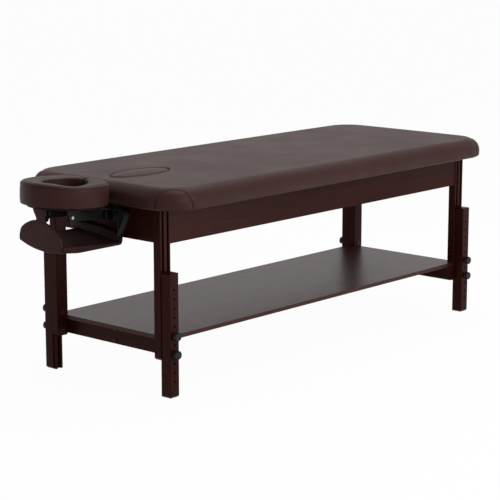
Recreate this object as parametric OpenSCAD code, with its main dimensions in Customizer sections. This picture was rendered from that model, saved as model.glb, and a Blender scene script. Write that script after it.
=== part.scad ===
// Stationary massage table with height-adjustable legs, shelf, headrest and armrest sling.
// The table's own middle is at table_x; the head end is at -X and the floor is at z = 0.

/* [Padded top] */
// length of the padded top
pad_len = 1850; // [1700:5:2000]
// width of the padded top
pad_w = 760; // [600:5:800]
// thickness of the padding with its cover
pad_t = 79; // [60:1:90]
// plan radius of the padded top's corners
pad_corner = 130; // [60:1:150]
// rounding of the upper edge
pad_round = 45; // [20:1:50]
// rounding of the lower edge
pad_under_round = 9; // [5:1:15]
// height of the crown over the upper edge
pad_crown = 5; // [0:0.5:10]
// thickness of the plywood deck
deck_t = 9; // [6:1:15]
// width of the cover's turned-in rim round the deck
deck_rim = 20; // [12:1:40]

/* [Face opening] */
// length of the face opening's plug
plug_len = 266; // [220:1:300]
// width of the face opening's plug
plug_w = 126; // [100:1:150]
// distance of the plug's middle from the head end of the top
plug_in = 223; // [190:1:300]
// width of the ledge that the plug rests on
plug_ledge = 10; // [6:1:15]

/* [Frame] */
// height of the frame's top in the photographed position
frame_top = 651; // [500:1:760]
// distance from the padded top's end to a leg's middle
leg_in_x = 65; // [40:1:150]
// distance from the padded top's long edge to a leg's outer face
leg_in_y = 105; // [70:1:140]
// height of the long side aprons
side_apron_h = 124; // [80:1:130]
// height of the end aprons
end_apron_h = 117; // [80:1:130]
// thickness of the aprons
apron_t = 20; // [15:1:25]
// set-back of the side aprons from the leg's outer face
side_setback = 3; // [0:0.5:8]
// set-back of the end aprons from the leg's end face
end_setback = 2; // [0:0.5:8]

/* [Legs] */
// width of the fixed inner leg
inner_w = 52; // [45:1:60]
// thickness of the fixed inner leg
inner_t = 32; // [28:1:45]
// floor clearance of the inner leg's end
inner_up = 128; // [110:1:140]
// width of each sliding groove
groove_w = 10; // [6:0.5:12]
// depth of the sliding grooves
groove_d = 8; // [4:0.5:10]
// width of the ridge between the grooves
ridge_w = 14; // [12:0.5:18]
// width of the sliding outer leg
outer_w = 44; // [40:1:52]
// thickness of the sliding outer leg
outer_t = 40; // [30:1:50]
// height of the sliding outer leg
outer_h = 434; // [380:1:480]
// pitch of the height holes
hole_pitch = 32; // [25:1:40]
// number of height holes
hole_count = 11; // [8:1:13]
// height of the lowest hole
hole_low = 57; // [40:1:80]
// diameter of the height holes
hole_d = 8.5; // [6.5:0.1:10.5]

/* [Leg knobs] */
// diameter of the clamping knobs
knob_d = 30; // [25:1:40]
// height of the clamping knobs
knob_h = 20; // [16:1:28]
// diameter of the knobs' studs
stud_d = 8; // [6:1:10]

/* [Shelf] */
// height of the shelf's upper face
shelf_top = 206; // [180:1:300]
// thickness of the shelf board
shelf_t = 15; // [9:1:18]
// distance from a leg's middle to the shelf's end
shelf_in = 4; // [0:1:20]
// height of the shelf rails and stretcher
rail_h = 58; // [40:1:60]
// thickness of the shelf rails and stretcher
rail_t = 20; // [16:1:25]

/* [Headrest] */
// distance between the headrest posts
post_gap = 240; // [200:1:260]
// diameter of the headrest posts
post_d = 16; // [12:0.5:20]
// depth of the posts below the frame's top
post_drop = 39; // [30:1:60]
// overall width of the headrest cushion
rest_w = 300; // [280:1:340]
// thickness of the headrest cushion
rest_t = 78; // [50:1:85]
// gap between the headrest cushion and the padded top
rest_gap = 30; // [20:1:40]
// length of the headrest cushion's face hole at its lower rim
rest_hole_l = 152; // [130:1:170]
// width of the headrest cushion's face hole at its lower rim
rest_hole_w = 132; // [110:1:150]
// slope of the headrest in the photographed position, its front up
rest_tilt = 3; // [0:0.5:5]

/* [Armrest sling] */
// width of the armrest tray
tray_w = 216; // [180:1:230]
// thickness of the padded tray
tray_t = 19; // [12:1:24]
// height of the tray's low rear wall over its underside
tray_wall = 42; // [30:1:50]

/* [Hidden] */
$fn = 96;
soft_fn = 32;
small_fn = 16;
over = 1;
fit = 0.3;
run_fit = 0.05;
slide_fit = 0.2;
arris = 2;

head_pad_x = -pad_len / 2;
post_z = frame_top - post_drop;
pivot_x = head_pad_x;
rest_rear_x = head_pad_x - rest_gap;
rest_flat = 42;
rest_r = rest_w / 2;
rest_cut = rest_r - rest_flat;
rest_x = rest_rear_x - rest_cut;
rest_front_x = rest_x - rest_r;

leg_x = pad_len / 2 - leg_in_x;
leg_y = pad_w / 2 - leg_in_y;
shelf_half = leg_x - shelf_in;

deck_corner = pad_corner - deck_rim;
plug_x = head_pad_x + plug_in;
plug_crown = 3;
plug_fit = 1.2;

leg_inner_x = leg_x - inner_w / 2;
leg_end_x = leg_x + inner_w / 2;
leg_inner_y = leg_y - inner_t;
side_out = leg_y - side_setback;
side_in = side_out - apron_t;
end_out = leg_end_x - end_setback;
end_in = end_out - apron_t;
side_low = frame_top - side_apron_h;
end_low = frame_top - end_apron_h;

dowel_d = 8;
dowel_in_apron = 18;
dowel_in_leg = 17;
dowel_fit = run_fit;
dowel_edge = 20;

block_reach = 86;
block_h = 60;
block_under = 29;
block_mid = frame_top - block_under - block_h / 2;
corner_bolt_d = 8;
corner_bolt_in = 17;
corner_washer_t = 1.6;

slat_h = 22;
slat_w = 70;
slat_foot_in = 119;
slat_count = 5;
slat_first = plug_x + (plug_len + slat_w) / 2;
slat_pitch = (leg_inner_x - slat_foot_in - slat_first) / (slat_count - 1);
cleat_h = 24;
cleat_t = 20;
cleat_gap = 8;
cleat_half = end_in - block_reach - cleat_gap;
deck_bite = 5;
wood_bite = 12;
screw_d = 4;
screw_head_share = 2;
screw_head_t = 2.4;
deck_screw_len = slat_h + deck_bite;
deck_screw_share = 0.32;
deck_screw_y = pad_w / 2 * deck_screw_share;
slat_screw_len = cleat_h + wood_bite;
cleat_screw_len = cleat_t + wood_bite;

knob_rows = [3, 5];
knob_neck_d = 17;
knob_neck_h = 6;
knob_lobes = 8;
knob_scallop_d = 7;
knob_bevel = 1.5;
washer_d = 20;
washer_t = 1.2;
nut_flange_d = 20;
nut_flange_t = 1.5;
nut_barrel_d = 11;
nut_barrel_len = 9;
outer_bevel = 6;
inner_bevel = 8;

rail_low = shelf_top - shelf_t - rail_h;
notch_fit = 2;
rail_bolt_d = 6;
rail_bolt_len = 70;
rail_bolt_head_d = 12;
rail_bolt_head_t = 4;
rail_bolt_edge_low = 11;
rail_bolt_edge_high = 8;
barrel_nut_d = 10;
barrel_nut_in = 40;
rail_screw_d = 5;
rail_screw_len = 38;
rail_screw_low = 9;
rail_screw_high = 44;
shelf_dowel_len = 20;
shelf_dowel_up = 8;
shelf_dowel_shares = [-0.73, -0.25, 0.25, 0.73];

post_len = 250;
post_tail_x = pivot_x + post_len;
bush_d = 22;
bush_flange_d = 30;
bush_flange_t = 2.5;
guide_back = 4;
guide_t = 30;
guide_mid = guide_t / 2 + guide_back - leg_inner_x;
guide_w = 44;
guide_under = 20;

bridge_w = 22;
bridge_bar_t = 8;
bridge_up = 27;
bridge_end_w = 20;
bridge_down = 10;
lug_in = 43.5;
lug_t = 8;
arm_in = 52;
arm_t = 8;
arm_tail_r = 11;
arm_nose_r = 14;
tilt_dx = -160;
tilt_dz = 12;
arm_top_dx = -171;
arm_top_dz = 34;
pivot_d = 8;
cradle_knob_d = 36;
cradle_knob_h = 16;
cradle_knob_neck_d = 18;
cradle_knob_neck_h = 4;
cradle_dish = 2;
cradle_boss_share = 0.3;
cradle_rim_share = 0.74;
nut_across = 13;
nut_h = 6.5;

tilt_x = pivot_x + tilt_dx;
tilt_z = post_z + tilt_dz;
ear_t = 3;
ear_gap = 0.5;
ear_in = arm_in + arm_t + ear_gap;
flange_w = 24;
board_t = 9.7;
board_gap = 31;
board_low = tilt_z + board_gap;
board_edge = 24;
board_r = rest_r - board_edge;
board_rear_in = 13;
board_hole_r = rest_hole_w / 2;
board_slot = 24;
rest_low = board_low + board_t + fit;
ring_shares = [
  [0, 0.05, 0.03], [0.06, 0, 0], [0.8, 0, 0.1], [0.9, 0.025, 0.15],
  [0.965, 0.08, 0.22], [0.99, 0.16, 0.3], [1, 0.3, 0.42]
];
tip_rise = rest_low + rest_t * ring_shares[1][0] - tilt_z;
tip_x = tilt_x + (rest_front_x - tilt_x) * cos(rest_tilt) + tip_rise * sin(rest_tilt);
table_x = -(tip_x + pad_len / 2) / 2;

strap_w = 25;
strap_t = 1.6;
strap_gap = 0.5;
strap_rear_x = -end_out - bush_flange_t - strap_gap;
tray_rear_x = strap_rear_x - strap_gap;
sling_in = 41.3;
tray_front_x = rest_front_x + sling_in;
sling_drop = 61;
tray_top = post_z - sling_drop;
tray_low = tray_top - tray_wall;
strap_low_in = 10;
strap_low_y = tray_w / 2 - strap_low_in;
tray_wall_t = 12;
tray_round = 7;
tray_board_t = 5;
tray_board_in = 18;
front_t = 8;
front_x = tray_front_x - fit;
front_up = 6;
front_low = tray_low + front_up;

plug_rim = 8;
plug_round = 14;
plug_steps = 4;
oval_points = 48;
oval_pinch = 1.12;
sliver = 0.1;
corner_head_t = 5;
tongue_w = groove_w - 2 * slide_fit;
outer_top_bevel = 4;
stud_out = 3;
barrel_half = 8;
guide_low = post_z - guide_under;
guide_screw_y = 15;
guide_screw_len = frame_top - guide_low + deck_bite;
post_nose = 5;
pivot_nut_t = 4;
pivot_head_d = 12;
pivot_head_t = 2.5;
ear_fore = 24;
ear_aft = 44;
ear_drop = 20;
ear_tip_r = 7;
platform_screw_x = 20;
platform_screw_len = 11;
rest_angles = [20, 32, 45, 58, 72, 88, 104, 120, 136, 152, 168, 180];
tray_corner = 14;
tray_wall_round = 4;
bell_h = 107;
bell_shares = [
  [0.4, 0], [0.72, 0.03], [0.9, 0.1], [0.965, 0.24], [0.975, 0.34], [0.965, 0.47],
  [0.85, 0.63], [0.675, 0.77], [0.47, 0.9], [0.23, 1]
];
neck_top = tilt_z + board_gap * cos(rest_tilt) + (tilt_x - front_x) * sin(rest_tilt) - 2 * fit;
neck_shares = [[0.23, -0.2], [0.23, 0.2], [0.25, 0.6], [0.28, 1]];
neck_tab_w = 56;
neck_tab_len = 28;
tab_t = 3.2;
panel_inset = 0.06;
strap_lift = 2.2;

module placed() translate([table_x, 0, 0]) children();

// the quarter at +X +Y, mirrored to the wanted corner
module corner(sx, sy)
  placed()
    mirror([sx < 0 ? 1 : 0, 0, 0])
      mirror([0, sy < 0 ? 1 : 0, 0])
        children();

module side(sy) placed() mirror([0, sy < 0 ? 1 : 0, 0]) children();

module along_x(d, len) rotate([0, 90, 0]) cylinder(d = d, h = len);

module along_y(d, len) rotate([-90, 0, 0]) cylinder(d = d, h = len);

// a board given by its low corner and its high corner
module board(low, high) translate(low) cube(high - low);

// bevelled rectangle in plan, for the legs
module bevelled(w, t, bevel)
  polygon([
    [bevel, 0], [w - bevel, 0], [w, bevel], [w, t - bevel],
    [w - bevel, t], [bevel, t], [0, t - bevel], [0, bevel]
  ]);

// a screw with its head at the origin, pointing up
module screw(d, len, gap = 0) {
  cylinder(d = d + 2 * gap, h = len + (gap > 0 ? over : 0), $fn = soft_fn);
  translate([0, 0, gap > 0 ? -over : 0])
    cylinder(d = d * screw_head_share + 2 * gap, h = screw_head_t + (gap > 0 ? over + gap : 0), $fn = soft_fn);
}

// padding: nested slabs under one skin, rounded at both edges and crowned
module padding(len, w, t, corner_r, up_r, low_r, crown) {
  steps = 5;
  crown_run = corner_r - up_r - arris;
  crown_steps = crown > 0 ? 3 : 0;
  hull() {
    for (i = [0 : steps]) {
      a = 90 * i / steps;
      inset = up_r * (1 - cos(a));
      low_z = inset < low_r ? low_r - sqrt(low_r * low_r - pow(low_r - inset, 2)) : 0;
      slab(len, w, corner_r, inset, low_z, t - crown - up_r * (1 - sin(a)));
    }
    for (i = [1 : 1 : crown_steps]) {
      s = i / crown_steps;
      slab(len, w, corner_r, up_r + crown_run * s, 0, t - crown * (1 - s) * (1 - s));
    }
  }
}

module slab(len, w, corner_r, inset, low_z, high_z)
  for (x = [-1, 1], y = [-1, 1])
    translate([x * (len / 2 - corner_r), y * (w / 2 - corner_r), low_z])
      cylinder(r = corner_r - inset, h = high_z - low_z, $fn = corner_r > tray_corner ? soft_fn : small_fn);

// the face opening's outline: an oval with slightly pointed ends
function oval(len, w) = [
  for (i = [0 : oval_points - 1])
    let (a = 360 * i / oval_points)
      [len / 2 * cos(a), w / 2 * sign(sin(a)) * pow(abs(sin(a)), oval_pinch)]
];

// a flat board with rounded corners in plan
module plank(len, w, r, t)
  linear_extrude(t) {
    square([len - 2 * r, w], center = true);
    square([len, w - 2 * r], center = true);
    for (x = [-1, 1], y = [-1, 1])
      translate([x * (len / 2 - r), y * (w / 2 - r)]) circle(r = r);
  }

// wedge that bevels an edge running along Y
module edge_cut(bevel, len)
  rotate([90, 0, 0])
    linear_extrude(len, center = true)
      polygon([[-over, -over], [bevel + over, -over], [-over, bevel + over]]);

// a flat shape drawn in X and Z, as thick as given, from y outwards
module upright(y, t) translate([0, y + t, 0]) rotate([90, 0, 0]) linear_extrude(t) children();

function dowel_z(low) = [low + dowel_edge, frame_top - dowel_edge];

// places and bores of the dowels at one corner
module side_dowels(gap)
  for (z = dowel_z(side_low))
    translate([leg_inner_x - dowel_in_apron - gap, (side_in + side_out) / 2, z])
      along_x(dowel_d + 2 * gap, dowel_in_apron + dowel_in_leg + 2 * gap);

module end_dowels(gap)
  for (z = dowel_z(end_low))
    translate([(end_in + end_out) / 2, leg_inner_y - dowel_in_apron - gap, z])
      along_y(dowel_d + 2 * gap, dowel_in_apron + dowel_in_leg + 2 * gap);

// the bolt from the corner block's slanted face into the leg's inner corner
block_sum = end_in + side_in - block_reach;
corner_dif = leg_inner_x - leg_inner_y;
corner_len = (leg_inner_x + leg_inner_y - block_sum) / sqrt(2);
module corner_bolt_line(d, len, head)
  translate([(block_sum + corner_dif) / 2, (block_sum - corner_dif) / 2, block_mid])
    rotate([0, 0, 45]) {
      along_x(d, len);
      if (head)
        translate([-corner_head_t, 0, 0]) along_x(corner_bolt_d * 2, corner_head_t);
    }

function knob_z() = [for (k = knob_rows) hole_low + hole_pitch * k];

deck_spots = [
  for (i = [0 : slat_count - 1], y = [-1, 1])
    [slat_first + slat_pitch * i, y * deck_screw_y, frame_top - slat_h, deck_screw_len],
  for (y = [-1, 1], s = [-1, 1])
    [guide_mid, y * post_gap / 2 + s * guide_screw_y, guide_low, guide_screw_len]
];
module deck_screw_line(gap)
  for (p = deck_spots) translate([p[0], p[1], p[2]]) screw(screw_d, p[3], gap);

module slat_screw_line(gap)
  for (i = [0 : slat_count - 1], y = [-1, 1])
    translate([slat_first + slat_pitch * i, y * (side_in - cleat_t / 2), frame_top - slat_h - cleat_h])
      screw(screw_d, slat_screw_len, gap);

module cleat_screw_line(gap)
  for (i = [0 : slat_count - 1], y = [-1, 1])
    translate([
      slat_first + slat_pitch * (i - 1 / 2), y * (side_in - cleat_t), frame_top - slat_h - cleat_h / 2
    ])
      rotate([-90 * y, 0, 0]) screw(screw_d, cleat_screw_len, gap);

// padded top and its deck

module top_pad()
  color([0.27, 0.2, 0.19])
    placed()
      difference() {
        translate([0, 0, frame_top])
          padding(pad_len, pad_w, pad_t, pad_corner, pad_round, pad_under_round, pad_crown);
        translate([0, 0, frame_top - over])
          plank(pad_len - 2 * deck_rim, pad_w - 2 * deck_rim, deck_corner, deck_t + over + fit);
        translate([plug_x, 0, frame_top]) {
          linear_extrude(pad_t + over) polygon(oval(plug_len + 2 * plug_fit, plug_w + 2 * plug_fit));
          hull()
            for (s = [0, 1])
              translate([0, 0, pad_t - plug_rim * (1 - s)])
                linear_extrude(over)
                  polygon(oval(plug_len + 2 * (plug_fit + s * plug_rim), plug_w + 2 * (plug_fit + s * plug_rim)));
        }
      }

module deck_board()
  color([0.72, 0.58, 0.4])
    placed()
      difference() {
        translate([0, 0, frame_top])
          plank(pad_len - 2 * deck_rim - 2 * fit, pad_w - 2 * deck_rim - 2 * fit, deck_corner - fit, deck_t);
        translate([plug_x, 0, frame_top - over])
          linear_extrude(deck_t + 2 * over)
            polygon(oval(plug_len - 2 * plug_ledge, plug_w - 2 * plug_ledge));
        deck_screw_line(run_fit);
      }

module face_plug()
  color([0.27, 0.2, 0.19])
    placed()
      translate([plug_x, 0, frame_top + deck_t + fit])
        hull() {
          for (i = [0 : plug_steps]) {
            a = 90 * i / plug_steps;
            inset = plug_round * (1 - cos(a));
            linear_extrude(pad_t - deck_t - fit - plug_round * (1 - sin(a)))
              polygon(oval(plug_len - 2 * inset, plug_w - 2 * inset));
          }
          linear_extrude(pad_t - deck_t - fit + plug_crown)
            polygon(oval(plug_len - 4 * plug_round, plug_w - 4 * plug_round));
        }

module deck_slats()
  color([0.55, 0.38, 0.24])
    placed()
      difference() {
        for (i = [0 : slat_count - 1]) {
          x = slat_first + slat_pitch * i;
          board([x - slat_w / 2, fit - side_in, frame_top - slat_h], [x + slat_w / 2, side_in - fit, frame_top]);
        }
        deck_screw_line(run_fit);
        slat_screw_line(run_fit);
      }

module cleat(sy)
  color([0.5, 0.34, 0.22])
    difference() {
      side(sy)
        board(
          [-cleat_half, side_in - cleat_t, frame_top - slat_h - cleat_h],
          [cleat_half, side_in, frame_top - slat_h]
        );
      placed() {
        slat_screw_line(run_fit);
        cleat_screw_line(run_fit);
      }
    }
module cleat_left() cleat(-1);
module cleat_right() cleat(1);

// aprons and their joints

module side_apron(sy)
  color([0.24, 0.09, 0.07])
    difference() {
      side(sy) board([-leg_inner_x, side_in, side_low], [leg_inner_x, side_out, frame_top]);
      for (sx = [-1, 1]) corner(sx, sy) side_dowels(dowel_fit);
      placed() cleat_screw_line(run_fit);
    }
module side_apron_left() side_apron(-1);
module side_apron_right() side_apron(1);

module end_apron(sx)
  difference() {
    placed()
      mirror([sx < 0 ? 1 : 0, 0, 0])
        board([end_in, -leg_inner_y, end_low], [end_out, leg_inner_y, frame_top]);
    for (sy = [-1, 1]) corner(sx, sy) end_dowels(dowel_fit);
  }

module end_apron_head()
  color([0.24, 0.09, 0.07])
    difference() {
      end_apron(-1);
      placed()
        for (y = [-1, 1])
          translate([-end_out - over, y * post_gap / 2, post_z])
            along_x(bush_d + 2 * run_fit, apron_t + 2 * over);
    }
module end_apron_foot() color([0.24, 0.09, 0.07]) end_apron(1);

module corner_blocks()
  color([0.55, 0.38, 0.24])
    for (sx = [-1, 1], sy = [-1, 1])
      corner(sx, sy)
        difference() {
          translate([0, 0, block_mid - block_h / 2])
            linear_extrude(block_h)
              polygon([
                [end_in - block_reach, side_in], [leg_inner_x - fit, side_in],
                [leg_inner_x - fit, leg_inner_y - fit], [end_in, leg_inner_y - fit],
                [end_in, side_in - block_reach]
              ]);
          corner_bolt_line(corner_bolt_d + 2 * run_fit, block_reach, false);
        }

module corner_bolts()
  color([0.7, 0.7, 0.72])
    for (sx = [-1, 1], sy = [-1, 1])
      corner(sx, sy) corner_bolt_line(corner_bolt_d, corner_len + corner_bolt_in, true);

module apron_dowels()
  color([0.8, 0.68, 0.5])
    for (sx = [-1, 1], sy = [-1, 1])
      corner(sx, sy) {
        side_dowels(0);
        end_dowels(0);
      }

module deck_screws() color([0.75, 0.72, 0.55]) placed() deck_screw_line(0);

module cleat_screws()
  color([0.75, 0.72, 0.55])
    placed() {
      slat_screw_line(0);
      cleat_screw_line(0);
    }

// telescoping legs

module inner_leg(sx, sy)
  color([0.24, 0.09, 0.07])
    corner(sx, sy)
      difference() {
        translate([leg_inner_x, leg_inner_y, inner_up])
          linear_extrude(frame_top - inner_up)
            difference() {
              bevelled(inner_w, inner_t, arris);
              for (s = [-1, 1])
                translate([inner_w / 2 + s * (ridge_w + groove_w) / 2 - groove_w / 2, inner_t - groove_d])
                  square([groove_w, groove_d + over]);
            }
        for (s = [0, 1])
          translate([leg_x, leg_y - inner_t / 2, inner_up])
            mirror([s, 0, 0])
              translate([-inner_w / 2, 0, 0]) edge_cut(inner_bevel, inner_t + 2 * over);
        for (z = knob_z()) {
          translate([leg_x, leg_inner_y - over, z]) along_y(hole_d, inner_t + 2 * over);
          translate([leg_x, leg_inner_y - over, z])
            along_y(nut_barrel_d + 2 * run_fit, nut_barrel_len + over + run_fit);
        }
        side_dowels(dowel_fit);
        end_dowels(dowel_fit);
        corner_bolt_line(corner_bolt_d + 2 * run_fit, corner_len + corner_bolt_in + fit, false);
        rail_screw_line(run_fit);
      }
module inner_leg_head_left() inner_leg(-1, -1);
module inner_leg_head_right() inner_leg(-1, 1);
module inner_leg_foot_left() inner_leg(1, -1);
module inner_leg_foot_right() inner_leg(1, 1);

module outer_leg(sx, sy)
  color([0.24, 0.09, 0.07])
    corner(sx, sy)
      difference() {
        translate([leg_x - outer_w / 2, leg_y + slide_fit, 0])
          linear_extrude(outer_h) {
            bevelled(outer_w, outer_t - slide_fit, arris);
            for (s = [-1, 1])
              translate([outer_w / 2 + s * (ridge_w + groove_w) / 2 - tongue_w / 2, fit - groove_d])
                square([tongue_w, groove_d]);
          }
        for (s = [0, 1])
          translate([leg_x, leg_y, 0])
            mirror([s, 0, 0])
              translate([-outer_w / 2, 0, 0]) edge_cut(outer_bevel, 2 * outer_t + 2 * over);
        translate([leg_x, leg_y + outer_t, 0])
          rotate([0, 0, -90]) edge_cut(outer_bevel, outer_w + 2 * over);
        for (s = [0, 1])
          translate([leg_x, leg_y, outer_h])
            mirror([s, 0, 0])
              mirror([0, 0, 1])
                translate([-outer_w / 2, 0, 0]) edge_cut(outer_top_bevel, 2 * outer_t + 2 * over);
        for (k = [0 : hole_count - 1])
          translate([leg_x, leg_y - over, hole_low + hole_pitch * k]) along_y(hole_d, outer_t + 2 * over);
      }
module outer_leg_head_left() outer_leg(-1, -1);
module outer_leg_head_right() outer_leg(-1, 1);
module outer_leg_foot_left() outer_leg(1, -1);
module outer_leg_foot_right() outer_leg(1, 1);

// a lobed knob moulded on its stud; z is the hole that it sits in
module leg_knob(sx, sy, z)
  color([0.08, 0.08, 0.08])
    corner(sx, sy)
      translate([leg_x, leg_y + outer_t + slide_fit, z]) {
        translate([0, -outer_t - inner_t - slide_fit - stud_out, 0])
          along_y(stud_d, outer_t + inner_t + slide_fit + stud_out + knob_neck_h);
        along_y(knob_neck_d, knob_neck_h + knob_bevel);
        translate([0, knob_neck_h, 0])
          rotate([-90, 0, 0])
            difference() {
              rotate_extrude()
                polygon([
                  [0, 0], [knob_d / 2 - knob_bevel, 0], [knob_d / 2, knob_bevel],
                  [knob_d / 2, knob_h - knob_neck_h - knob_bevel],
                  [knob_d / 2 - knob_bevel, knob_h - knob_neck_h], [0, knob_h - knob_neck_h]
                ]);
              for (i = [0 : knob_lobes - 1])
                rotate([0, 0, 360 * (i + 1 / 2) / knob_lobes])
                  translate([knob_d / 2 + knob_scallop_d / 4, 0, -over])
                    cylinder(d = knob_scallop_d, h = knob_h + 2 * over);
            }
      }
module low_knob_head_left() leg_knob(-1, -1, knob_z()[0]);
module low_knob_head_right() leg_knob(-1, 1, knob_z()[0]);
module low_knob_foot_left() leg_knob(1, -1, knob_z()[0]);
module low_knob_foot_right() leg_knob(1, 1, knob_z()[0]);
module high_knob_head_left() leg_knob(-1, -1, knob_z()[1]);
module high_knob_head_right() leg_knob(-1, 1, knob_z()[1]);
module high_knob_foot_left() leg_knob(1, -1, knob_z()[1]);
module high_knob_foot_right() leg_knob(1, 1, knob_z()[1]);

module tee_nuts()
  color([0.72, 0.7, 0.6])
    for (sx = [-1, 1], sy = [-1, 1], z = knob_z())
      corner(sx, sy)
        translate([leg_x, leg_inner_y, z])
          difference() {
            union() {
              translate([0, -nut_flange_t, 0]) along_y(nut_flange_d, nut_flange_t);
              along_y(nut_barrel_d, nut_barrel_len);
            }
            translate([0, -nut_flange_t - over, 0])
              along_y(stud_d + 2 * run_fit, nut_barrel_len + nut_flange_t + 2 * over);
          }

// shelf and its frame

module rail_screw_line(gap)
  for (z = [rail_screw_low, rail_screw_high])
    translate([leg_inner_x - rail_t, leg_y - inner_t / 2, rail_low + z])
      rotate([0, 90, 0]) screw(rail_screw_d, rail_screw_len, gap);

module stretcher_bolt_line(gap, head)
  for (sx = [0, 1], z = [rail_bolt_edge_low, rail_h - rail_bolt_edge_high])
    mirror([sx, 0, 0])
      translate([leg_inner_x, 0, rail_low + z]) {
        translate([-rail_bolt_len - gap, 0, 0]) along_x(rail_bolt_d + 2 * gap, rail_bolt_len + 2 * gap);
        if (head) along_x(rail_bolt_head_d, rail_bolt_head_t);
      }

module barrel_nut_line(gap, past)
  for (sx = [0, 1], z = [rail_bolt_edge_low, rail_h - rail_bolt_edge_high])
    mirror([sx, 0, 0])
      translate([leg_inner_x - rail_t - barrel_nut_in, -barrel_half - past, rail_low + z])
        along_y(barrel_nut_d + 2 * gap, 2 * (barrel_half + past));

module shelf_dowel_line(gap)
  for (sx = [-1, 1], y = shelf_dowel_shares)
    translate([sx * (leg_inner_x - rail_t / 2), y * leg_y, shelf_top - shelf_t + shelf_dowel_up - shelf_dowel_len - gap])
      cylinder(d = dowel_d + 2 * gap, h = shelf_dowel_len + 2 * gap);

module shelf_board()
  color([0.27, 0.11, 0.09])
    placed()
      difference() {
        board([-shelf_half, -leg_y, shelf_top - shelf_t], [shelf_half, leg_y, shelf_top]);
        for (sx = [0, 1], sy = [0, 1])
          mirror([sx, 0, 0])
            mirror([0, sy, 0])
              board(
                [leg_inner_x - notch_fit, leg_inner_y - notch_fit, shelf_top - shelf_t - over],
                [leg_end_x, leg_y + over, shelf_top + over]
              );
        shelf_dowel_line(dowel_fit);
      }

module shelf_rail(s)
  color([0.24, 0.09, 0.07])
    placed()
      difference() {
        mirror([s, 0, 0])
          board([leg_inner_x - rail_t, -leg_y, rail_low], [leg_inner_x, leg_y, shelf_top - shelf_t]);
        stretcher_bolt_line(run_fit, false);
        shelf_dowel_line(dowel_fit);
        for (sy = [0, 1])
          mirror([s, 0, 0])
            mirror([0, sy, 0]) rail_screw_line(run_fit);
      }
module shelf_rail_head() shelf_rail(1);
module shelf_rail_foot() shelf_rail(0);

module shelf_stretcher()
  color([0.24, 0.09, 0.07])
    placed()
      difference() {
        board(
          [rail_t - leg_inner_x, -rail_t / 2, rail_low],
          [leg_inner_x - rail_t, rail_t / 2, shelf_top - shelf_t]
        );
        stretcher_bolt_line(run_fit, false);
        barrel_nut_line(run_fit, over);
      }

module stretcher_bolts() color([0.7, 0.7, 0.72]) placed() stretcher_bolt_line(0, true);

module barrel_nuts()
  color([0.72, 0.7, 0.6])
    placed()
      difference() {
        barrel_nut_line(0, 0);
        stretcher_bolt_line(run_fit, false);
      }

module rail_screws()
  color([0.75, 0.72, 0.55])
    for (sx = [-1, 1], sy = [-1, 1]) corner(sx, sy) rail_screw_line(0);

module shelf_dowels() color([0.8, 0.68, 0.5]) placed() shelf_dowel_line(0);

// headrest mounting

module guide_block(sy)
  color([0.55, 0.38, 0.24])
    difference() {
      side(sy)
        board(
          [guide_mid - guide_t / 2, (post_gap - guide_w) / 2, guide_low],
          [guide_mid + guide_t / 2, (post_gap + guide_w) / 2, frame_top]
        );
      side(sy)
        translate([guide_mid - guide_t, post_gap / 2, post_z]) along_x(post_d + 2 * run_fit, 2 * guide_t);
      placed() deck_screw_line(run_fit);
    }
module guide_block_left() guide_block(-1);
module guide_block_right() guide_block(1);

module post_bushes()
  color([0.1, 0.1, 0.1])
    placed()
      for (y = [-1, 1])
        translate([-end_out, y * post_gap / 2, post_z])
          difference() {
            union() {
              along_x(bush_d, apron_t);
              translate([-bush_flange_t, 0, 0]) along_x(bush_flange_d, bush_flange_t);
            }
            translate([-bush_flange_t - over, 0, 0])
              along_x(post_d + 2 * run_fit, apron_t + bush_flange_t + 2 * over);
          }

module post(sy)
  color([0.12, 0.12, 0.12])
    side(sy)
      translate([pivot_x - post_nose, post_gap / 2, post_z])
        along_x(post_d, post_tail_x - pivot_x + post_nose);
module post_left() post(-1);
module post_right() post(1);

module cradle_bridge()
  color([0.09, 0.09, 0.09])
    difference() {
      union()
        for (sy = [-1, 1])
          side(sy) {
            board(
              [pivot_x - bridge_w / 2, -over, post_z + bridge_up - bridge_bar_t],
              [pivot_x + bridge_w / 2, (post_gap + bridge_end_w) / 2, post_z + bridge_up]
            );
            board(
              [pivot_x - bridge_w / 2, (post_gap - bridge_end_w) / 2, post_z - bridge_down],
              [pivot_x + bridge_w / 2, (post_gap + bridge_end_w) / 2, post_z + bridge_up]
            );
            upright(lug_in, lug_t) {
              translate([pivot_x, post_z]) circle(d = bridge_w);
              translate([pivot_x - bridge_w / 2, post_z]) square([bridge_w, bridge_up]);
            }
          }
      for (sy = [-1, 1])
        side(sy) {
          translate([pivot_x - post_nose, post_gap / 2, post_z]) along_x(post_d + 2 * run_fit, bridge_w);
          translate([pivot_x, lug_in - over, post_z]) along_y(pivot_d + 2 * run_fit, lug_t + 2 * over);
        }
    }

arm_out = arm_in + arm_t;

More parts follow.
